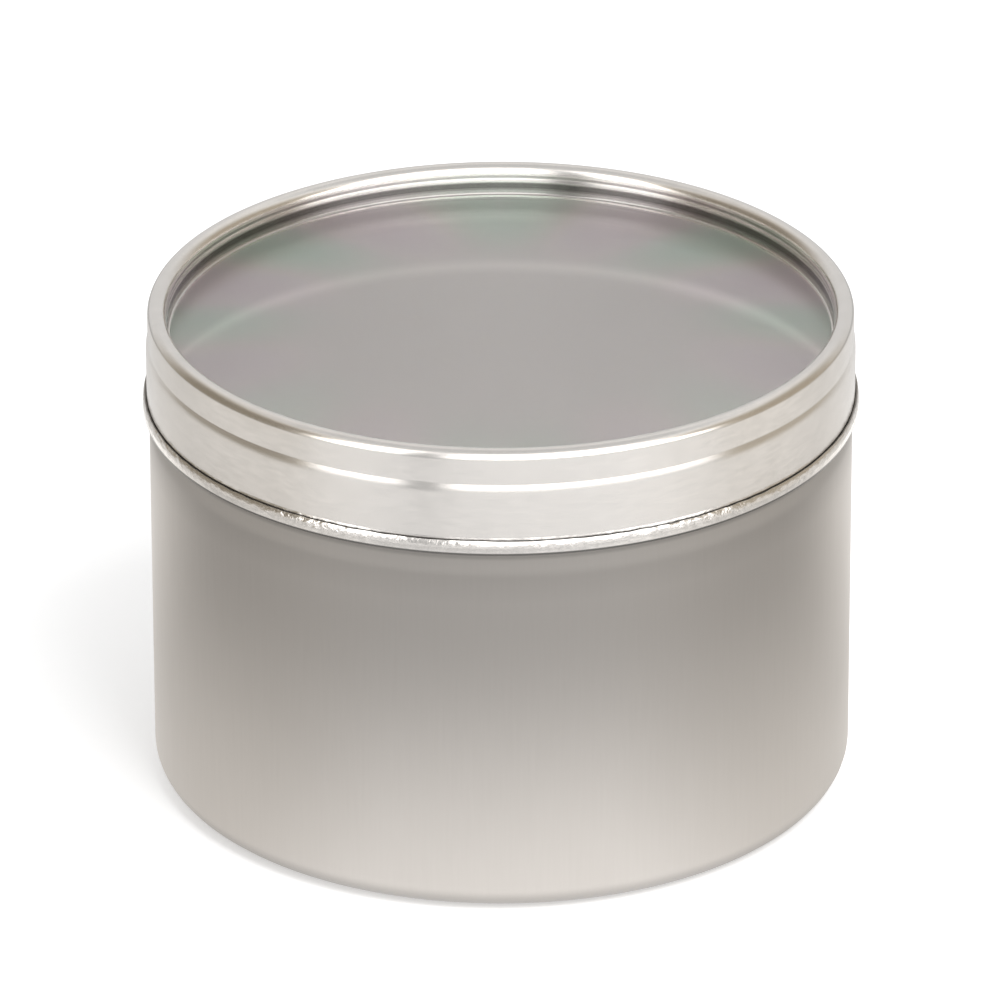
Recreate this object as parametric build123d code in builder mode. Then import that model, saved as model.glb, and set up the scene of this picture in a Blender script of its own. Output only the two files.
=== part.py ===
# Round seamless tin with a slip-on lid that holds a clear window.
# Millimetres. The origin is the centre of the base, +Z runs up the tin's axis.
import os

from build123d import *

os.makedirs("parts", exist_ok=True)

# The tinplate that both metal pieces are drawn from
sheet = 0.22

# Body: one deep-drawn cup
body_radius = 38.5
body_height = 51.0
body_corner_round = 3.2
stand_ring_width = 2.1
base_panel_rise = 0.8
base_panel_run = 1.2
base_panel_round = 1.1

# Neck of the body, drawn in a little so that the lid slips over it
neck_inset = 0.2
neck_depth = 8.1
shoulder_height = 2.0
shoulder_round = 12.0

# Lid ring: skirt, step, upper wall and hollow bead
lid_clearance = 0.22
lid_overlap = 7.8
step_inset = 0.2
step_drop = 0.5
step_height = 0.82
step_top_round = 0.6
step_foot_round = 3.2
bead_hollow = 1.63
bead_height = 3.6
bead_round = 0.79

# Inner wall of the lid ring, with a small ledge, down to the flange on the window
ledge_inset = 0.1
ledge_drop = 1.5
ledge_height = 0.3
ledge_round = 0.4
flange_width = 0.27
flange_round = 0.47

# Curl along the foot of the skirt: the sheet turns outward and up again, and its tip leans back in
curl_width = 0.65
curl_height = 1.7
curl_round = 0.32
curl_tip_height = 0.72
curl_lean = 0.13
curl_tip_round = 1.0

# Clear window, pressed up into the lid ring
window_thickness = 0.3
window_fit = 0.02
window_edge_round = 0.1
rim_gap = 0.2

# Radii of the base, and then of the sheet's hidden faces in the lid, from the body outward
base_step_radius = body_radius - body_corner_round - stand_ring_width
base_panel_radius = base_step_radius - base_panel_run
neck_radius = body_radius - neck_inset
skirt_bore = neck_radius + lid_clearance
upper_bore = skirt_bore - step_inset
bead_core = upper_bore - bead_hollow
inner_wall_radius = bead_core - ledge_inset
flange_radius = inner_wall_radius - sheet - flange_width
curl_radius = skirt_bore + curl_width
window_radius = upper_bore - window_fit

# Heights, worked out from the rim of the body
window_bottom = body_height + rim_gap
window_top = window_bottom + window_thickness
lid_top = window_top + bead_height
bead_roof = lid_top - sheet
ledge_top = lid_top - ledge_drop
ledge_bottom = ledge_top - ledge_height
step_bottom = body_height - step_drop
step_top = step_bottom + step_height
curl_bottom = body_height - lid_overlap
curl_top = curl_bottom + curl_height
curl_waist = curl_top - curl_tip_height
neck_bottom = body_height - neck_depth
shoulder_bottom = neck_bottom - shoulder_height

# Body: the outer face from the middle of the base to the plain cut rim
with BuildPart() as body:
    with BuildSketch(Plane.XZ) as body_section:
        with BuildLine() as body_face:
            FilletPolyline(
                (0, base_panel_rise),
                (base_panel_radius, base_panel_rise),
                (base_step_radius, 0),
                (body_radius, 0),
                (body_radius, shoulder_bottom),
                (neck_radius, neck_bottom),
                (neck_radius, body_height),
                radius=[
                    base_panel_round,
                    base_panel_round,
                    body_corner_round,
                    shoulder_round,
                    shoulder_round,
                ],
            )
            offset(amount=sheet, side=Side.LEFT)
        make_face()
    revolve(axis=Axis.Z)
body.part.label = "body"
export_step(body.part, "parts/body.step")

# Lid ring: the hidden face from the flange, under the bead and down to the curl's cut edge
with BuildPart() as lid_ring:
    with BuildSketch(Plane.XZ) as lid_ring_section:
        with BuildLine() as lid_ring_face:
            FilletPolyline(
                (flange_radius, window_top),
                (inner_wall_radius, window_top),
                (inner_wall_radius, ledge_bottom),
                (bead_core, ledge_top),
                (bead_core, bead_roof),
                (upper_bore, bead_roof),
                (upper_bore, step_top),
                (skirt_bore, step_bottom),
                (skirt_bore, curl_bottom),
                (curl_radius, curl_bottom),
                (curl_radius, curl_waist),
                (curl_radius - curl_lean, curl_top),
                radius=[
                    flange_round,
                    ledge_round,
                    ledge_round,
                    bead_round,
                    bead_round,
                    step_top_round,
                    step_foot_round,
                    curl_round,
                    curl_round,
                    curl_tip_round,
                ],
            )
            offset(amount=sheet, side=Side.LEFT)
        make_face()
    revolve(axis=Axis.Z)
lid_ring.part.label = "lid_ring"
export_step(lid_ring.part, "parts/lid_ring.step")

# Window: a flat clear disc under the flange, held by the upper wall
with BuildPart() as window:
    with BuildSketch(Plane.XY.offset(window_bottom)):
        Circle(window_radius)
    extrude(amount=window_thickness)
    fillet(window.edges().filter_by(GeomType.CIRCLE), radius=window_edge_round)
window.part.label = "window"
export_step(window.part, "parts/window.step")
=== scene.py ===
import math

import bpy
import numpy as np
from mathutils import Matrix, Vector


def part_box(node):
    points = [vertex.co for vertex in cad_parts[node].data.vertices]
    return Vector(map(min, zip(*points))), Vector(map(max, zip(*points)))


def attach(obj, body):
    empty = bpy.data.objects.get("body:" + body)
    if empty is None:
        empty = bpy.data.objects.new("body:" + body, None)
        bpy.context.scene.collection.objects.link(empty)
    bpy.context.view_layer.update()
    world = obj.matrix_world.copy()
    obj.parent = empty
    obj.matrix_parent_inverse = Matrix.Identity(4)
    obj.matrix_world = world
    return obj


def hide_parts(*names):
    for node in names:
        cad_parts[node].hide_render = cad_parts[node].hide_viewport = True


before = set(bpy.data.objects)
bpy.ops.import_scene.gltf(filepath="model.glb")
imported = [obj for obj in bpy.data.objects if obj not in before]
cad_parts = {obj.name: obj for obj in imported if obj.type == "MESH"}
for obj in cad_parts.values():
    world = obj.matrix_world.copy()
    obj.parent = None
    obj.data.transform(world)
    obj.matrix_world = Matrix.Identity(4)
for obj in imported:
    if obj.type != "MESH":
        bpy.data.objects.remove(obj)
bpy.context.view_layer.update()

# Lengths are in metres. The tin stands on z = 0 and its front faces -Y.
MM = 0.001
FULL_TURN = 2 * math.pi

# Corners of the imported solids, read from model.glb
BODY_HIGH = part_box("body")[1]
RING_LOW, RING_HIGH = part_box("lid_ring")
FILM_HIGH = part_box("window")[1]

# The sheet and its bends
SHEET = 0.22 * MM
BODY_FOOT_ROUND = 3.2 * MM
STAND_RING_WIDTH = 2.1 * MM
PANEL_RISE = 0.8 * MM
PANEL_RUN = 1.2 * MM
PANEL_ROUND = 1.1 * MM
NECK_INSET = 0.2 * MM
NECK_DEPTH = 8.1 * MM
SHOULDER_HEIGHT = 2.0 * MM
SHOULDER_ROUND = 12.0 * MM
LID_CLEARANCE = 0.22 * MM
STEP_INSET = 0.2 * MM
STEP_DROP = 0.5 * MM
STEP_HEIGHT = 0.82 * MM
STEP_TOP_ROUND = 0.6 * MM
STEP_FOOT_ROUND = 3.2 * MM
BEAD_HOLLOW = 1.63 * MM
BEAD_ROUND = 0.79 * MM
LEDGE_INSET = 0.1 * MM
LEDGE_DROP = 1.5 * MM
LEDGE_HEIGHT = 0.3 * MM
LEDGE_ROUND = 0.4 * MM
FLANGE_WIDTH = 0.27 * MM
FLANGE_ROUND = 0.47 * MM
CURL_HEIGHT = 1.7 * MM
CURL_ROUND = 0.32 * MM
CURL_TIP_HEIGHT = 0.40 * MM
CURL_LEAN = 0.16 * MM
CURL_TIP_ROUND = 1.5 * MM

# Radii and heights that the pieces and their finishes share
NECK_RADIUS = BODY_HIGH.x - NECK_INSET
SKIRT_BORE = NECK_RADIUS + LID_CLEARANCE
OUTSIDE_SKIRT = SKIRT_BORE + SHEET + 0.02 * MM
WELL_RADIUS = 36.6 * MM
NECK_FOOT = BODY_HIGH.z - NECK_DEPTH
LEDGE_TOP = RING_HIGH.z - LEDGE_DROP
LEDGE_FOOT = LEDGE_TOP - LEDGE_HEIGHT
CURL_FOOT = RING_LOW.z
CURL_TOP = CURL_FOOT + CURL_HEIGHT
CURL_WAIST = CURL_TOP - CURL_TIP_HEIGHT

# Puckers of the curl's edge
PUCKER_SEED = 7
PUCKER_DEPTH = 0.03 * MM
PUCKER_DENT_LIMIT = 0.015 * MM
PUCKER_BULGE_LIMIT = 0.10 * MM
EDGE_SWAY = 0.02 * MM
EDGE_NICKS = 0.03 * MM
MEAN_PUCKER = 0.55
PUCKER_SWING = 0.45
CURL_REACH_UP = 1.1

# Fineness of the turned meshes
TURN_STEPS_BODY = 640
TURN_STEPS_RING = 800
ARC_STEP = math.radians(12)

# The metal's finish
GRAIN_DEPTH = 0.01 * MM
CRIMP_DEPTH = 0.2 * MM
CRIMP_PATCHES = (0.35, 0.65)
CRIMP_PATCH_SHARES = (0.35, 1.0)
# The grey of the painted shade under the curl, at the body's shoulder and down in the lid's well
PAINTED_SHADE_GREY = (0.03, 0.028, 0.025, 1)

# The film's stress colours: waves round the film and outward, and the depth and lag of each channel
STRESS_SPOKES = 8.4
STRESS_RINGS = 1000.0
STRESS_DRIFT = 2.2
STRESS_FADE_IN = (0.0003, 0.0010)
STRESS_TO_BACK = (-0.025, 0.022)
STRESS_FRONT_SHARE = 0.3
FILM_WAVES = {"Red": (0.17, 2.9), "Green": (0.05, 5.9), "Blue": (0.07, 2.7)}
FILM_CLEARNESS = 0.98

# The camera that the photograph was taken with
PHOTO_SIZE_PX = 1000
SENSOR_WIDTH_MM = 36
FOCAL_PX = 10000
CAMERA_ELEVATION = math.radians(25.69)
CAMERA_DISTANCE = 1100 * MM
CAMERA_ROLL = math.radians(-0.133)
CAMERA_TARGET = Vector((-0.12 * MM, 0, 31.06 * MM))
CAMERA_FAR = 20

# The studio: how bright each part of the surroundings looks in the metal
WHITE = (1, 1, 1, 1)
BLACK = (0, 0, 0, 1)
ROOM_COLOUR = (1, 0.88, 0.70, 1)
TABLE_FOOT_LEVEL = 1.36
TABLE_MIDDLE_LEVEL = 0.43
TABLE_RISE_LEVEL = 0.61
TABLE_RISE_ASIDE_LEVEL = 0.98
TABLE_EDGE_LEVEL = 0.93
TABLE_BACK_FOOT_LEVEL = 1.35
TABLE_BACK_LEVEL = 0.73
TABLE_SLOPE = (0.95, 1.05)
TABLE_LEFT_SHARE = 0.90
TABLE_RIGHT_SHARE = 0.87
TABLE_ASIDE_SHARE = 0.84
TABLE_CONTACT_SHARE = 0.55
TABLE_BROWNNESS = 0.15
ROOM_LEFT_LEVEL = 0.24
ROOM_RIGHT_LEVEL = 0.38
BACKDROP_LEVEL = 0.65
BACKDROP_HIGH_LEVEL = 0.80
CEILING_LEVEL = 0.55
WINDOW_WALL_LEVEL = 2.15
SIDE_LEVEL = 0.85
AMBIENT_LEVEL = 0.75
THROUGH_FILM_SHARE = 1.97

# The table to the camera: pale paper that glows a little, so that it turns white beside its shadow
TABLE_HALF_WIDTH = 6.0
TABLE_PAPER = (0.82, 0.82, 0.82, 1)
TABLE_GLOW = 0.35

# Where the table's levels change, as distances from the tin's axis
CONTACT_REACH = (0.036, 0.041)
FOOT_REACH = (0.03, 0.12)
ASIDE_REACH = (0.06, 0.11)
FOOT_TO_RISE_REACH = (0.123, 0.135)
RISE_REACH = (0.13, 0.152)
BACK_REACH = (0.095, 0.12)
BACK_PLACE = (0.0, 0.06)
TABLE_END_REACH = (0.205, 0.235)
PANES_FOOT_REACH = (0.50, 0.72)

# Where they change sideways, as a share of the distance
OFF_CENTRE = (0.35, 0.8)
TABLE_LEFT = (-1.0, -0.6)
TABLE_RIGHT = (0.6, 1.0)
TABLE_MIDST = (-0.7, 0.7)
BROWN_SIDES = (0.4, 1.0)

# Where the levels beyond the table change, as parts of the direction there
RIGHT_SIDE = (-0.3, 0.3)
PANES_SPREAD = (1.5, 2.0)
PANES_SLANT = 0.1
PANES_TAPER_HEIGHT = (0.2, 0.45)
PANES_TAPER = 1.25
PANES_LOW_RIGHT_HEIGHT = (0.2, 0.38)
PANES_LOW_RIGHT = 0.35
PANES_AHEAD = (0.46, 0.62)
PANES_ASIDE_SHARE = 0.25
PILLAR_LEFT_EDGE = (-0.66, -0.52)
PILLAR_RIGHT_EDGE = (-0.36, -0.24)
ROOM_DEPTH = (0.35, 0.85)
ROOM_HEIGHT = (0.5, 0.9)
ROOM_LOWER_ON_RIGHT = 0.10
SIDE_AHEAD = (-0.25, 0.15)
BACKDROP_HEIGHT = (0.46, 0.70)
CEILING_HEIGHT = (0.72, 0.93)


def rounded_line(corners, rounds):
    """Points along a line with rounded corners, with the direction to the left of travel at each."""
    corners = [np.array(c, float) for c in corners]
    points, lefts = [], []

    def add(point, along):
        points.append(point)
        lefts.append(np.array([-along[1], along[0]]))

    first = corners[1] - corners[0]
    add(corners[0], first / np.linalg.norm(first))
    for before, corner, after, radius in zip(corners, corners[1:], corners[2:], rounds):
        way_in = (corner - before) / np.linalg.norm(corner - before)
        way_out = (after - corner) / np.linalg.norm(after - corner)
        turn = math.atan2(way_in[0] * way_out[1] - way_in[1] * way_out[0], way_in @ way_out)
        start = corner - way_in * radius * math.tan(abs(turn) / 2)
        side = math.copysign(1, turn)
        centre = start + side * radius * np.array([-way_in[1], way_in[0]])
        steps = max(2, math.ceil(abs(turn) / ARC_STEP))
        for step in range(steps + 1):
            angle = turn * step / steps
            cosine, sine = math.cos(angle), math.sin(angle)
            along = np.array([way_in[0] * cosine - way_in[1] * sine,
                              way_in[0] * sine + way_in[1] * cosine])
            add(centre - side * radius * np.array([-along[1], along[0]]), along)
    last = corners[-1] - corners[-2]
    add(corners[-1], last / np.linalg.norm(last))
    return np.array(points), np.array(lefts)


def turned_mesh(name, section, turns, sharp_rows=(), shape=None):
    """A closed section of (radius, height) points turned about Z. A radius of 0 closes to a pole."""
    section = np.array(section, float)
    angles = np.arange(turns) * FULL_TURN / turns
    radii = np.repeat(section[:, 0][None], turns, 0)
    heights = np.repeat(section[:, 1][None], turns, 0)
    if shape is not None:
        radii, heights = shape(angles, radii, heights)
    x = radii * np.sin(angles)[:, None]
    y = -radii * np.cos(angles)[:, None]
    rows = len(section)
    is_pole = section[:, 0] == 0
    index = np.arange(turns * rows).reshape(turns, rows)
    index[:, is_pole] = index[:1, is_pole]
    vertices = np.stack([x, y, heights], -1).reshape(-1, 3)
    faces, face_rows = [], []
    for row in range(rows):
        after = (row + 1) % rows
        if is_pole[row] and is_pole[after]:
            continue
        for turn in range(turns):
            nxt = (turn + 1) % turns
            corners = (index[turn, row], index[nxt, row], index[nxt, after], index[turn, after])
            faces.append(tuple(dict.fromkeys(int(c) for c in corners)))
            face_rows.append(row)
    used = np.unique(np.concatenate([np.array(f) for f in faces]))
    renumber = np.full(len(vertices), -1)
    renumber[used] = np.arange(len(used))
    mesh = bpy.data.meshes.new(name)
    mesh.from_pydata(vertices[used].tolist(), [], [[int(renumber[c]) for c in f] for f in faces])
    sharp = {frozenset((int(renumber[index[t, r]]), int(renumber[index[(t + 1) % turns, r]])))
             for r in sharp_rows for t in range(turns)}
    for edge in mesh.edges:
        edge.use_edge_sharp = frozenset(edge.vertices) in sharp
    mesh.shade_smooth()
    piece = bpy.data.objects.new(name, mesh)
    bpy.context.scene.collection.objects.link(piece)
    return piece, face_rows


def sheet_section(corners, rounds):
    """The closed section of a sheet, with one face along the rounded line and the other to its left."""
    face, lefts = rounded_line(corners, rounds)
    back = face + SHEET * lefts
    rows = len(face)
    return np.concatenate([face, back[::-1]]), (0, rows - 1, rows, 2 * rows - 1)


def node(tree, kind, inputs=None, **settings):
    """Adds a node. Inputs are values or the sockets that feed them."""
    made = tree.nodes.new(kind)
    for key, value in settings.items():
        setattr(made, key, value)
    for key, value in (inputs or {}).items():
        if isinstance(value, bpy.types.NodeSocket):
            tree.links.new(value, made.inputs[key])
        else:
            made.inputs[key].default_value = value
    return made


def math_node(tree, operation, first, second=0.0, clamp=False):
    inputs = {0: first, 1: second}
    return node(tree, "ShaderNodeMath", inputs, operation=operation, use_clamp=clamp).outputs[0]


def plus(tree, first, second):
    return math_node(tree, "ADD", first, second)


def minus(tree, first, second):
    return math_node(tree, "SUBTRACT", first, second)


def times(tree, first, *others):
    for other in others:
        first = math_node(tree, "MULTIPLY", first, other)
    return first


def ramp(tree, value, low, high, to_low=0.0, to_high=1.0):
    """A smooth change from to_low to to_high as value goes from low to high."""
    inputs = {"Value": value, "From Min": low, "From Max": high, "To Min": to_low, "To Max": to_high}
    return node(tree, "ShaderNodeMapRange", inputs, interpolation_type="SMOOTHSTEP").outputs["Result"]


def mix_values(tree, share, first, second):
    inputs = {"Factor": share, "A": first, "B": second}
    return node(tree, "ShaderNodeMix", inputs, data_type="FLOAT").outputs["Result"]


def mix_colours(tree, share, first, second):
    return node(tree, "ShaderNodeMix", {"Factor": share, 6: first, 7: second}, data_type="RGBA").outputs[2]


def noise(tree, place, scale, detail, roughness=0.5):
    inputs = {"Vector": place, "Scale": scale, "Detail": detail, "Roughness": roughness}
    return node(tree, "ShaderNodeTexNoise", inputs).outputs["Fac"]


def object_place(tree):
    return node(tree, "ShaderNodeTexCoord").outputs["Object"]


def axes_of(tree, place):
    """X, Y and Z of a place or a direction."""
    axes = node(tree, "ShaderNodeSeparateXYZ", {"Vector": place})
    return [axes.outputs[letter] for letter in "XYZ"]


def sum_of_squares(tree, x, y):
    return plus(tree, times(tree, x, x), times(tree, y, y))


def reach_from_axis(tree, x, y):
    return math_node(tree, "SQRT", sum_of_squares(tree, x, y))


def new_material(name):
    material = bpy.data.materials.new(name)
    material.use_nodes = True
    material.node_tree.nodes.clear()
    return material, material.node_tree


def new_group(name, inputs, outputs):
    """A shader node group. Inputs and outputs are (name, socket type, default) and (name, socket type)."""
    group = bpy.data.node_groups.new(name, "ShaderNodeTree")
    for label, kind, default in inputs:
        socket = group.interface.new_socket(name=label, in_out="INPUT", socket_type=kind)
        socket.default_value = default
    for label, kind in outputs:
        group.interface.new_socket(name=label, in_out="OUTPUT", socket_type=kind)
    return group, group.nodes.new("NodeGroupInput"), group.nodes.new("NodeGroupOutput")


def grain_group():
    """Rolled or drawn sheet: fine streaks and a soft mottle."""
    group, given, result = new_group(
        "tinplate_grain",
        [
            ("Streak Scale", "NodeSocketVector", (900.0, 900.0, 60.0)),
            ("Streak Depth", "NodeSocketFloat", 0.5),
            ("Mottle Scale", "NodeSocketFloat", 90.0),
            ("Mottle Depth", "NodeSocketFloat", 0.3),
            ("Light Colour", "NodeSocketColor", (0.8, 0.8, 0.8, 1)),
            ("Dark Colour", "NodeSocketColor", (0.7, 0.7, 0.7, 1)),
            ("Smooth", "NodeSocketFloat", 0.25),
            ("Rough", "NodeSocketFloat", 0.35),
        ],
        [("Colour", "NodeSocketColor"), ("Roughness", "NodeSocketFloat"), ("Height", "NodeSocketFloat")],
    )
    place = object_place(group)
    stretched = node(group, "ShaderNodeVectorMath", {0: place, 1: given.outputs["Streak Scale"]},
                     operation="MULTIPLY").outputs[0]
    streaks = noise(group, stretched, scale=1.0, detail=5.0, roughness=0.65)
    mottle = noise(group, place, given.outputs["Mottle Scale"], detail=3.0)
    streak_part = times(group, minus(group, streaks, 0.5), given.outputs["Streak Depth"])
    mottle_part = times(group, minus(group, mottle, 0.5), given.outputs["Mottle Depth"])
    tone = math_node(group, "ADD", plus(group, streak_part, mottle_part), 0.5, clamp=True)
    colour = mix_colours(group, tone, given.outputs["Dark Colour"], given.outputs["Light Colour"])
    group.links.new(colour, result.inputs["Colour"])
    group.links.new(mix_values(group, tone, given.outputs["Rough"], given.outputs["Smooth"]),
                    result.inputs["Roughness"])
    group.links.new(streaks, result.inputs["Height"])
    return group


def height_band(group, given, z):
    """1 between the group's Bottom and Top, with both ends faded over its Softness."""
    soft = given.outputs["Softness"]
    below = math_node(group, "DIVIDE", minus(group, given.outputs["Top"], z), soft, clamp=True)
    above = math_node(group, "DIVIDE", minus(group, z, given.outputs["Bottom"]), soft, clamp=True)
    return times(group, below, above)


def painted_shade_group():
    """Painted shade: dark grey mixed into the colour in a band between two heights, inside a radius."""
    group, given, result = new_group(
        "painted_shade_bands",
        [
            ("Colour", "NodeSocketColor", (0.8, 0.8, 0.8, 1)),
            ("Bottom", "NodeSocketFloat", 0.0),
            ("Top", "NodeSocketFloat", 0.001),
            ("Softness", "NodeSocketFloat", 0.0002),
            ("Outer Radius", "NodeSocketFloat", 1.0),
            ("Strength", "NodeSocketFloat", 0.5),
        ],
        [("Colour", "NodeSocketColor")],
    )
    x, y, z = axes_of(group, object_place(group))
    inside = math_node(group, "LESS_THAN", reach_from_axis(group, x, y), given.outputs["Outer Radius"])
    shade = times(group, height_band(group, given, z), inside, given.outputs["Strength"])
    colour = mix_colours(group, shade, given.outputs["Colour"], PAINTED_SHADE_GREY)
    group.links.new(colour, result.inputs["Colour"])
    return group


def crimp_group():
    """Small dents in a band between two heights, left where the sheet's edge was rolled over."""
    group, given, result = new_group(
        "rolled_edge_crimps",
        [
            ("Bottom", "NodeSocketFloat", 0.0),
            ("Top", "NodeSocketFloat", 0.001),
            ("Softness", "NodeSocketFloat", 0.0002),
            ("Scale", "NodeSocketFloat", 900.0),
        ],
        [("Height", "NodeSocketFloat")],
    )
    place = object_place(group)
    _, _, z = axes_of(group, place)
    dents = noise(group, place, given.outputs["Scale"], detail=2.0)
    patches = ramp(group, noise(group, place, scale=60.0, detail=1.0), *CRIMP_PATCHES, *CRIMP_PATCH_SHARES)
    group.links.new(times(group, dents, patches, height_band(group, given, z)), result.inputs["Height"])
    return group


def tinplate(name, grain, values, painted_shade, bands, anisotropy=0.0, rotation=0.0, bump_strength=0.05, crimps=None):
    """A metal sheet with grain. The tangent runs round the tin, and rotation turns the grain across it."""
    material, tree = new_material(name)
    surface = node(tree, "ShaderNodeGroup", values, node_tree=grain)
    colour = surface.outputs["Colour"]
    # Each band mixes painted shade into the sheet's colour
    for band in bands:
        colour = node(tree, "ShaderNodeGroup", {"Colour": colour, **band}, node_tree=painted_shade).outputs["Colour"]
    bump = node(tree, "ShaderNodeBump", {"Strength": bump_strength, "Distance": GRAIN_DEPTH,
                                         "Height": surface.outputs["Height"]})
    if crimps is not None:
        group, settings = crimps
        dents = node(tree, "ShaderNodeGroup", settings, node_tree=group).outputs["Height"]
        bump = node(tree, "ShaderNodeBump", {"Strength": 1.0, "Distance": CRIMP_DEPTH, "Height": dents,
                                             "Normal": bump.outputs["Normal"]})
    around = node(tree, "ShaderNodeTangent", direction_type="RADIAL", axis="Z")
    shader = node(tree, "ShaderNodeBsdfPrincipled", {
        "Base Color": colour, "Metallic": 1.0, "Roughness": surface.outputs["Roughness"],
        "Anisotropic": anisotropy, "Anisotropic Rotation": rotation, "Normal": bump.outputs["Normal"],
        "Tangent": around.outputs["Tangent"]})
    node(tree, "ShaderNodeOutputMaterial", {"Surface": shader.outputs["BSDF"]})
    return material


def painted_shade_band(bottom, top, softness, strength, radius=1.0):
    """A band of painted shade between two heights. It covers the whole width unless a radius is given."""
    return {"Bottom": bottom, "Top": top, "Softness": softness, "Strength": strength, "Outer Radius": radius}


def satin_tinplate(grain, painted_shade):
    """The outside of the tin, with painted shade under the lid's curl: a thin dark line at its foot and a
    soft band round it.
    """
    # Painted shadow of the lid's curl on the body
    under_curl = painted_shade_band(CURL_FOOT - 0.9 * MM, CURL_FOOT + 0.3 * MM, 0.35 * MM, 0.24)
    lid_shade = painted_shade_band(CURL_FOOT - 6 * MM, CURL_FOOT + 6 * MM, 6 * MM, 0.22)
    return tinplate("satin_tinplate", grain, {
        "Streak Scale": (2600.0, 2600.0, 120.0), "Streak Depth": 0.5, "Mottle Depth": 0.35,
        "Light Colour": (0.587, 0.553, 0.520, 1), "Dark Colour": (0.525, 0.493, 0.460, 1),
        "Smooth": 0.30, "Rough": 0.38}, painted_shade, [under_curl, lid_shade], anisotropy=0.6)


def tin_lining(grain, painted_shade):
    """The inside of the tin, with painted shade above and below its shoulder, so that the shoulder shows as a
    pale arc, a painted highlight.
    """
    # Painted highlight: the lining is darkened above and below the shoulder, so the shoulder stays pale
    shoulder = NECK_FOOT - 0.9 * MM
    below_shoulder = painted_shade_band(-5 * MM, shoulder, 1.1 * MM, 0.15)
    above_shoulder = painted_shade_band(shoulder, BODY_HIGH.z + 5 * MM, 1.1 * MM, 0.15)
    return tinplate("tin_lining", grain, {
        "Streak Scale": (1800.0, 1800.0, 120.0), "Streak Depth": 0.4, "Mottle Depth": 0.3,
        "Light Colour": (1.0, 0.977, 0.965, 1), "Dark Colour": (0.96, 0.937, 0.925, 1),
        "Smooth": 0.36, "Rough": 0.44}, painted_shade, [below_shoulder, above_shoulder], anisotropy=0.7)


def bright_tinplate(grain, painted_shade):
    """The lid's ring: bright sheet, with painted shade under the curl and in the gap behind its edge, and
    bands of painted shade and painted dark reflection down in the well over the film.
    """
    soft = 0.12 * MM
    # Painted shade under the curl and in the gap behind its cut edge
    curl_foot = painted_shade_band(CURL_FOOT - 1 * MM, CURL_FOOT + 0.40 * MM, soft, 0.87)
    curl_gap = painted_shade_band(CURL_FOOT, CURL_TOP + 0.12 * MM, soft, 0.8, OUTSIDE_SKIRT)
    # Painted shade and painted dark reflections down the well's wall and ledge, in bands
    well_wall = painted_shade_band(LEDGE_FOOT - 1.6 * MM, LEDGE_FOOT, soft, 0.5, WELL_RADIUS)
    well_high = painted_shade_band(LEDGE_FOOT - 0.85 * MM, LEDGE_FOOT - 0.15 * MM, soft, 0.6, WELL_RADIUS)
    well_low = painted_shade_band(LEDGE_FOOT - 1.1 * MM, LEDGE_FOOT - 0.65 * MM, soft, 0.35, WELL_RADIUS)
    ledge_face = painted_shade_band(LEDGE_FOOT - 0.05 * MM, LEDGE_FOOT + 0.35 * MM, soft, 0.35, WELL_RADIUS)
    bead_throat = painted_shade_band(LEDGE_FOOT + 0.32 * MM, LEDGE_FOOT + 0.75 * MM, soft, 0.4, WELL_RADIUS)
    painted_shades = [curl_foot, curl_gap, well_wall, well_high, well_low, ledge_face, bead_throat]
    crimps = {"Bottom": CURL_FOOT + 0.4 * MM, "Top": CURL_FOOT + 2.0 * MM, "Softness": 0.5 * MM,
              "Scale": 1000.0}
    return tinplate("bright_tinplate", grain, {
        "Streak Scale": (450.0, 450.0, 1800.0), "Streak Depth": 1.2, "Mottle Scale": 260.0,
        "Mottle Depth": 0.6, "Light Colour": (0.99, 0.95, 0.91, 1), "Dark Colour": (0.89, 0.855, 0.815, 1),
        "Smooth": 0.21, "Rough": 0.28}, painted_shade, painted_shades, anisotropy=0.5, rotation=0.25, bump_strength=0.6,
        crimps=(crimp_group(), crimps))


def cut_steel_edge(grain, painted_shade):
    """The sheet's cut edge, where the steel shows."""
    return tinplate("cut_steel_edge", grain, {
        "Streak Scale": (2600.0, 2600.0, 900.0), "Streak Depth": 0.8, "Mottle Depth": 0.4,
        "Light Colour": (0.45, 0.43, 0.40, 1), "Dark Colour": (0.28, 0.27, 0.25, 1),
        "Smooth": 0.40, "Rough": 0.55}, painted_shade, [], bump_strength=0.1)


def clear_film():
    """Clear stressed film: passes light, mirrors its surroundings at a low angle, and shows pale colours."""
    material, tree = new_material("clear_film")
    place = object_place(tree)
    x, y, _ = axes_of(tree, place)
    squares = sum_of_squares(tree, x, y)
    turn = math_node(tree, "ARCTAN2", math_node(tree, "ABSOLUTE", x), y)
    spokes = times(tree, turn, STRESS_SPOKES)
    drift = times(tree, noise(tree, place, scale=24.0, detail=1.0), STRESS_DRIFT)
    stress = minus(tree, plus(tree, spokes, drift), times(tree, squares, STRESS_RINGS))
    strength = times(tree, ramp(tree, squares, *STRESS_FADE_IN),
                     ramp(tree, y, *STRESS_TO_BACK, STRESS_FRONT_SHARE, 1.0))
    channels = {}
    for channel, (depth, lag) in FILM_WAVES.items():
        wave = math_node(tree, "COSINE", plus(tree, stress, lag))
        channels[channel] = plus(tree, times(tree, wave, strength, depth), FILM_CLEARNESS)
    tint = node(tree, "ShaderNodeCombineColor", channels)
    pane = node(tree, "ShaderNodeBsdfPrincipled", {
        "Base Color": tint.outputs["Color"], "Metallic": 0.0, "Roughness": 0.03, "IOR": 1.1,
        "Transmission Weight": 1.0, "Coat Weight": 1.0, "Coat Roughness": 0.3, "Coat IOR": 1.5})
    node(tree, "ShaderNodeOutputMaterial", {"Surface": pane.outputs[0]})
    return material


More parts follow.
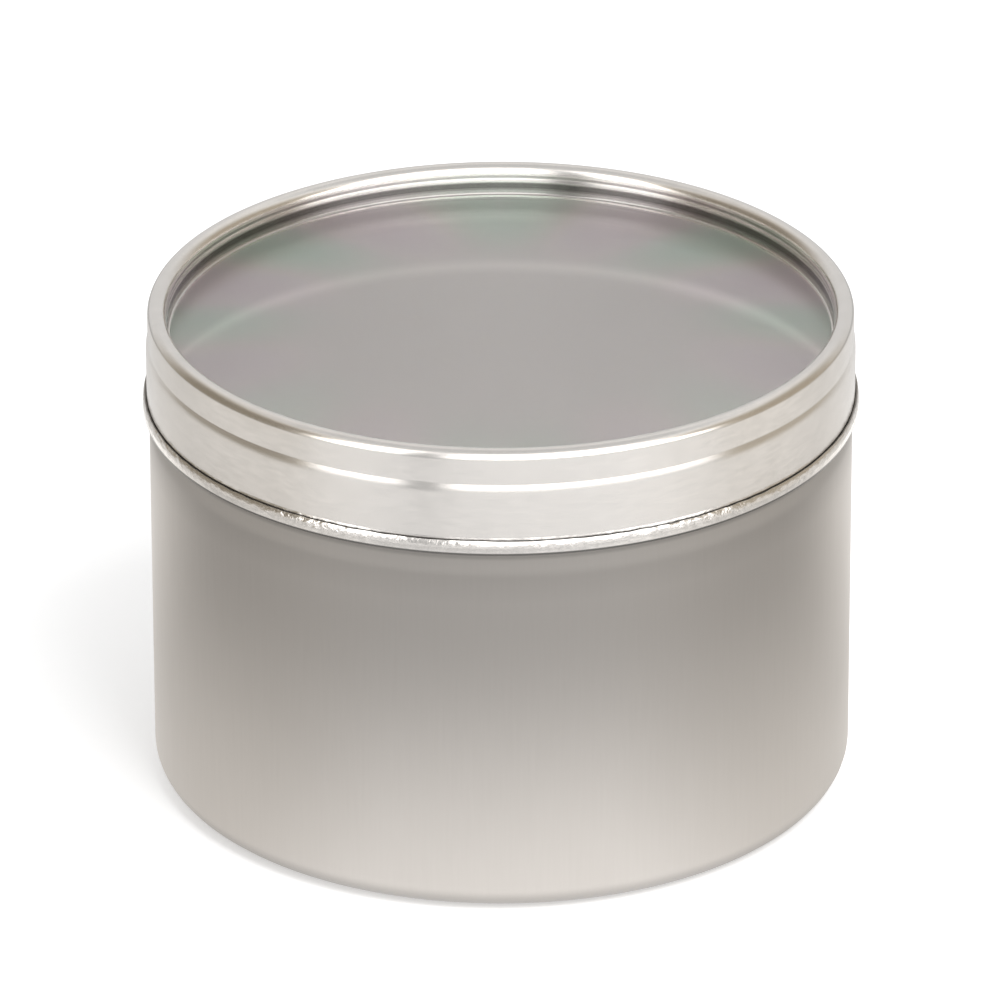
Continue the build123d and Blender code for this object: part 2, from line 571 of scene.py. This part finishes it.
def body_piece(outside, inside, cut_edge):
    """The drawn cup, outer face first, from the middle of the base to the cut rim."""
    radius, rim = BODY_HIGH.x, BODY_HIGH.z
    base_step = radius - BODY_FOOT_ROUND - STAND_RING_WIDTH
    corners = [(0, PANEL_RISE), (base_step - PANEL_RUN, PANEL_RISE), (base_step, 0), (radius, 0),
               (radius, NECK_FOOT - SHOULDER_HEIGHT), (NECK_RADIUS, NECK_FOOT), (NECK_RADIUS, rim)]
    rounds = [PANEL_ROUND, PANEL_ROUND, BODY_FOOT_ROUND, SHOULDER_ROUND, SHOULDER_ROUND]
    section, ends = sheet_section(corners, rounds)
    cup, cup_rows = turned_mesh("tin_cup", section, TURN_STEPS_BODY, sharp_rows=ends[1:3])
    for finish in (outside, inside, cut_edge):
        cup.data.materials.append(finish)
    for face, row in zip(cup.data.polygons, cup_rows):
        face.material_index = 2 if row == ends[1] else int(row >= ends[2])
    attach(cup, "tin")
    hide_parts("body")


def waves(random, angles, slowest, fastest, count, depth):
    """Adds up waves that close round the tin, so that no two puckers look alike."""
    total = np.zeros_like(angles)
    for _ in range(count):
        total += np.sin(random.integers(slowest, fastest) * angles + random.uniform(0, FULL_TURN))
    return total * depth * math.sqrt(2 / count)


def curl_shape(section):
    """The curl's puckers: the tip dips and bulges a little where the sheet's edge was rolled over."""
    random = np.random.default_rng(PUCKER_SEED)
    on_leg = (section[:, 0] > OUTSIDE_SKIRT) & (section[:, 1] < CURL_FOOT + CURL_REACH_UP * CURL_HEIGHT)
    weight = on_leg * np.clip((section[:, 1] - CURL_WAIST) / CURL_TIP_HEIGHT, 0, 1)

    def shape(angles, radii, heights):
        swell = waves(random, angles, slowest=3, fastest=11, count=4, depth=0.8)
        swell = MEAN_PUCKER + PUCKER_SWING * np.clip(swell, -1, 1)
        puckers = waves(random, angles, slowest=45, fastest=120, count=12, depth=PUCKER_DEPTH) * swell
        puckers = np.clip(puckers, -PUCKER_DENT_LIMIT, PUCKER_BULGE_LIMIT)
        sway = waves(random, angles, slowest=5, fastest=30, count=5, depth=EDGE_SWAY)
        nicks = waves(random, angles, slowest=50, fastest=120, count=8, depth=EDGE_NICKS) * swell
        rise = sway + nicks
        return radii + puckers[:, None] * weight[None], heights + rise[:, None] * weight[None] ** 3

    return shape


def ring_piece(material, cut_edge):
    """The lid's ring, hidden face first, from the flange under the bead and down to the curl's cut edge."""
    upper_bore = SKIRT_BORE - STEP_INSET
    bead_core = upper_bore - BEAD_HOLLOW
    inner_wall = bead_core - LEDGE_INSET
    flange = inner_wall - SHEET - FLANGE_WIDTH
    curl_radius = RING_HIGH.x
    roof = RING_HIGH.z - SHEET
    step_bottom = BODY_HIGH.z - STEP_DROP
    corners = [(flange, FILM_HIGH.z), (inner_wall, FILM_HIGH.z), (inner_wall, LEDGE_FOOT),
               (bead_core, LEDGE_TOP), (bead_core, roof), (upper_bore, roof),
               (upper_bore, step_bottom + STEP_HEIGHT), (SKIRT_BORE, step_bottom), (SKIRT_BORE, CURL_FOOT),
               (curl_radius, CURL_FOOT), (curl_radius, CURL_WAIST), (curl_radius - CURL_LEAN, CURL_TOP)]
    rounds = [FLANGE_ROUND, LEDGE_ROUND, LEDGE_ROUND, BEAD_ROUND, BEAD_ROUND, STEP_TOP_ROUND, STEP_FOOT_ROUND,
              CURL_ROUND, CURL_ROUND, CURL_TIP_ROUND]
    section, ends = sheet_section(corners, rounds)
    ring, ring_rows = turned_mesh("lid_shell", section, TURN_STEPS_RING, sharp_rows=ends,
                                  shape=curl_shape(section))
    for finish in (material, cut_edge):
        ring.data.materials.append(finish)
    for face, row in zip(ring.data.polygons, ring_rows):
        face.material_index = int(row == ends[1])
    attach(ring, "lid")
    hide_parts("lid_ring")


def film_piece(material):
    """The window keeps its solid's mesh and takes the film's finish."""
    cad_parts["window"].data.materials.clear()
    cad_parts["window"].data.materials.append(material)


def beyond_the_table(tree, x, y, z):
    """How bright the studio is in a direction, and how brown: windows, a pale backdrop and a dim room."""
    ahead = times(tree, y, -1.0)
    aside = math_node(tree, "ABSOLUTE", x)
    on_right = ramp(tree, x, *RIGHT_SIDE)
    slant = plus(tree, math_node(tree, "MAXIMUM", ahead, 0.0), times(tree, z, PANES_SLANT))
    spread = math_node(tree, "DIVIDE", aside, slant)
    low_right = times(tree, on_right, ramp(tree, z, *PANES_LOW_RIGHT_HEIGHT, PANES_LOW_RIGHT, 0.0))
    taper = minus(tree, ramp(tree, z, *PANES_TAPER_HEIGHT, 1.0, PANES_TAPER), low_right)
    width = ramp(tree, times(tree, spread, taper), *PANES_SPREAD, 1.0, 0.0)
    reach_up = ramp(tree, plus(tree, ahead, times(tree, aside, PANES_ASIDE_SHARE)), *PANES_AHEAD)
    window_wall = times(tree, width, reach_up)
    bearing = math_node(tree, "DIVIDE", x, ahead)
    pillar = times(tree, ramp(tree, bearing, *PILLAR_LEFT_EDGE),
                   ramp(tree, bearing, *PILLAR_RIGHT_EDGE, 1.0, 0.0))
    panes = times(tree, window_wall, minus(tree, 1.0, pillar))
    height = plus(tree, z, times(tree, on_right, ROOM_LOWER_ON_RIGHT))
    in_room = times(tree, ramp(tree, y, *ROOM_DEPTH, 1.0, 0.0), ramp(tree, height, *ROOM_HEIGHT, 1.0, 0.0))
    room = mix_values(tree, on_right, ROOM_LEFT_LEVEL, ROOM_RIGHT_LEVEL)
    backdrop = ramp(tree, z, *BACKDROP_HEIGHT, BACKDROP_LEVEL, BACKDROP_HIGH_LEVEL)
    walls = mix_values(tree, ramp(tree, ahead, *SIDE_AHEAD), backdrop, SIDE_LEVEL)
    pale = mix_values(tree, ramp(tree, z, *CEILING_HEIGHT), walls, CEILING_LEVEL)
    calm = mix_values(tree, in_room, pale, room)
    brownness = times(tree, in_room, minus(tree, 1.0, window_wall))
    return mix_values(tree, panes, calm, WINDOW_WALL_LEVEL), brownness


def table_level(tree, y, reach, sideways):
    """How bright the table looks in the metal, by the place on it."""
    off_centre = ramp(tree, math_node(tree, "ABSOLUTE", sideways), *OFF_CENTRE)
    aside = mix_values(tree, off_centre, 1.0, ramp(tree, reach, *ASIDE_REACH, TABLE_ASIDE_SHARE, 1.0))
    foot = times(tree, aside, ramp(tree, reach, *FOOT_REACH, TABLE_FOOT_LEVEL, TABLE_MIDDLE_LEVEL))
    rise_start = mix_values(tree, off_centre, TABLE_RISE_LEVEL, TABLE_RISE_ASIDE_LEVEL)
    rise = ramp(tree, reach, *RISE_REACH, rise_start, TABLE_EDGE_LEVEL)
    near = mix_values(tree, ramp(tree, reach, *FOOT_TO_RISE_REACH), foot, rise)
    behind = ramp(tree, reach, *BACK_REACH, TABLE_BACK_FOOT_LEVEL, TABLE_BACK_LEVEL)
    lengthwise = mix_values(tree, ramp(tree, y, *BACK_PLACE), near, behind)
    leftward = ramp(tree, sideways, *TABLE_LEFT, TABLE_LEFT_SHARE, 1.0)
    rightward = ramp(tree, sideways, *TABLE_RIGHT, 1.0, TABLE_RIGHT_SHARE)
    slope = ramp(tree, sideways, *TABLE_MIDST, *TABLE_SLOPE)
    # Painted shadow: the table looks darker in the metal close round the tin's foot
    contact = ramp(tree, reach, *CONTACT_REACH, TABLE_CONTACT_SHARE, 1.0)
    return times(tree, lengthwise, contact, slope, leftward, rightward)


def studio_floor():
    """A wide white table, clear from below.

    Away from the tin it looks darker in the metal than to the camera.
    """
    size = TABLE_HALF_WIDTH
    corners = [(-size, -size, 0), (size, -size, 0), (size, size, 0), (-size, size, 0)]
    mesh = bpy.data.meshes.new("floor")
    mesh.from_pydata(corners, [], [(0, 1, 2, 3)])
    floor = bpy.data.objects.new("floor", mesh)
    bpy.context.scene.collection.objects.link(floor)
    material, tree = new_material("white_table")
    x, y, _ = axes_of(tree, object_place(tree))
    reach = reach_from_axis(tree, x, y)
    sideways = math_node(tree, "DIVIDE", x, reach)
    table = table_level(tree, y, reach, sideways)
    table_brownness = ramp(tree, math_node(tree, "ABSOLUTE", sideways), *BROWN_SIDES, 0.0, TABLE_BROWNNESS)
    far, far_brownness = beyond_the_table(tree, sideways, math_node(tree, "DIVIDE", y, reach), 0.0)
    past_edge = ramp(tree, reach, *TABLE_END_REACH)
    panes_foot = times(tree, past_edge, ramp(tree, reach, *PANES_FOOT_REACH))
    shown = mix_values(tree, panes_foot, math_node(tree, "MINIMUM", far, ROOM_RIGHT_LEVEL), far)
    mirrored_level = mix_values(tree, past_edge, table, shown)
    path = node(tree, "ShaderNodeLightPath")
    seen = path.outputs["Is Camera Ray"]
    mirrored = path.outputs["Is Glossy Ray"]
    brownness = times(tree, mix_values(tree, past_edge, table_brownness, far_brownness), mirrored)
    seen_plain = math_node(tree, "MAXIMUM", seen, path.outputs["Is Transmission Ray"])
    glow_level = mix_values(tree, mirrored, times(tree, seen_plain, TABLE_GLOW), mirrored_level)
    paper = node(tree, "ShaderNodeBsdfDiffuse", {"Color": TABLE_PAPER})
    black = node(tree, "ShaderNodeBsdfDiffuse", {"Color": BLACK})
    matte = node(tree, "ShaderNodeMixShader", {0: mirrored, 1: paper.outputs[0], 2: black.outputs[0]})
    tint = mix_colours(tree, brownness, WHITE, ROOM_COLOUR)
    glow = node(tree, "ShaderNodeEmission", {"Color": tint, "Strength": glow_level})
    from_above = node(tree, "ShaderNodeAddShader", {0: matte.outputs[0], 1: glow.outputs[0]})
    from_below = times(tree, seen, node(tree, "ShaderNodeNewGeometry").outputs["Backfacing"])
    clear = node(tree, "ShaderNodeBsdfTransparent")
    either = node(tree, "ShaderNodeMixShader", {0: from_below, 1: from_above.outputs[0], 2: clear.outputs[0]})
    node(tree, "ShaderNodeOutputMaterial", {"Surface": either.outputs[0]})
    material.cycles.emission_sampling = "NONE"
    mesh.materials.append(material)


def studio_world():
    """White to the camera. In the metal and through the film, what stands beyond the table."""
    world = bpy.data.worlds.new("studio")
    bpy.context.scene.world = world
    world.use_nodes = True
    tree = world.node_tree
    tree.nodes.clear()
    x, y, z = axes_of(tree, node(tree, "ShaderNodeTexCoord").outputs["Generated"])
    shown, brownness = beyond_the_table(tree, x, y, z)
    path = node(tree, "ShaderNodeLightPath")
    mirrored = math_node(tree, "MAXIMUM", path.outputs["Is Glossy Ray"], path.outputs["Is Transmission Ray"])
    plain = mix_values(tree, path.outputs["Is Camera Ray"], AMBIENT_LEVEL, 1.0)
    share = mix_values(tree, path.outputs["Is Transmission Ray"], 1.0, THROUGH_FILM_SHARE)
    level = mix_values(tree, mirrored, plain, times(tree, shown, share))
    tint = mix_colours(tree, times(tree, brownness, mirrored), WHITE, ROOM_COLOUR)
    glow = node(tree, "ShaderNodeBackground", {"Color": tint, "Strength": level})
    node(tree, "ShaderNodeOutputWorld", {"Surface": glow.outputs[0]})
    world.cycles.sampling_method = "NONE"


def studio_lamp(name, place, width, power):
    """A square soft lamp aimed at the tin. It casts the shadow, but the metal and the film don't show it."""
    light = bpy.data.lights.new(name, "AREA")
    light.size = width
    light.energy = power
    lamp = bpy.data.objects.new(name, light)
    bpy.context.scene.collection.objects.link(lamp)
    lamp.location = place
    lamp.rotation_euler = (CAMERA_TARGET - Vector(place)).to_track_quat("-Z", "Y").to_euler()
    lamp.visible_glossy = False
    lamp.visible_transmission = False


def photo_camera():
    camera_data = bpy.data.cameras.new("photo_camera")
    camera_data.sensor_width = SENSOR_WIDTH_MM
    camera_data.lens = FOCAL_PX / PHOTO_SIZE_PX * SENSOR_WIDTH_MM
    camera_data.clip_end = CAMERA_FAR
    camera = bpy.data.objects.new("photo_camera", camera_data)
    bpy.context.scene.collection.objects.link(camera)
    away = Vector((0, -math.cos(CAMERA_ELEVATION), math.sin(CAMERA_ELEVATION)))
    right = Vector((1, 0, 0))
    up = away.cross(right)
    turned_right = math.cos(CAMERA_ROLL) * right + math.sin(CAMERA_ROLL) * up
    turned_up = math.cos(CAMERA_ROLL) * up - math.sin(CAMERA_ROLL) * right
    axes = Matrix((turned_right, turned_up, away)).transposed()
    camera.matrix_world = Matrix.Translation(CAMERA_TARGET + away * CAMERA_DISTANCE) @ axes.to_4x4()
    bpy.context.scene.camera = camera


photo_camera()
studio_world()
studio_floor()
studio_lamp("key_lamp", place=(0.27, -0.40, 0.67), width=0.46, power=5.0)

grain = grain_group()
painted_shade = painted_shade_group()
cut_edge = cut_steel_edge(grain, painted_shade)
body_piece(satin_tinplate(grain, painted_shade), tin_lining(grain, painted_shade), cut_edge)
ring_piece(bright_tinplate(grain, painted_shade), cut_edge)
film_piece(clear_film())

# Light bounces many times before it leaves the inside of the tin
bpy.context.scene.cycles.max_bounces = 24
bpy.context.scene.cycles.glossy_bounces = 16
bpy.context.scene.cycles.transmission_bounces = 16
bpy.context.scene.view_settings.view_transform = "Standard"
bpy.context.view_layer.update()
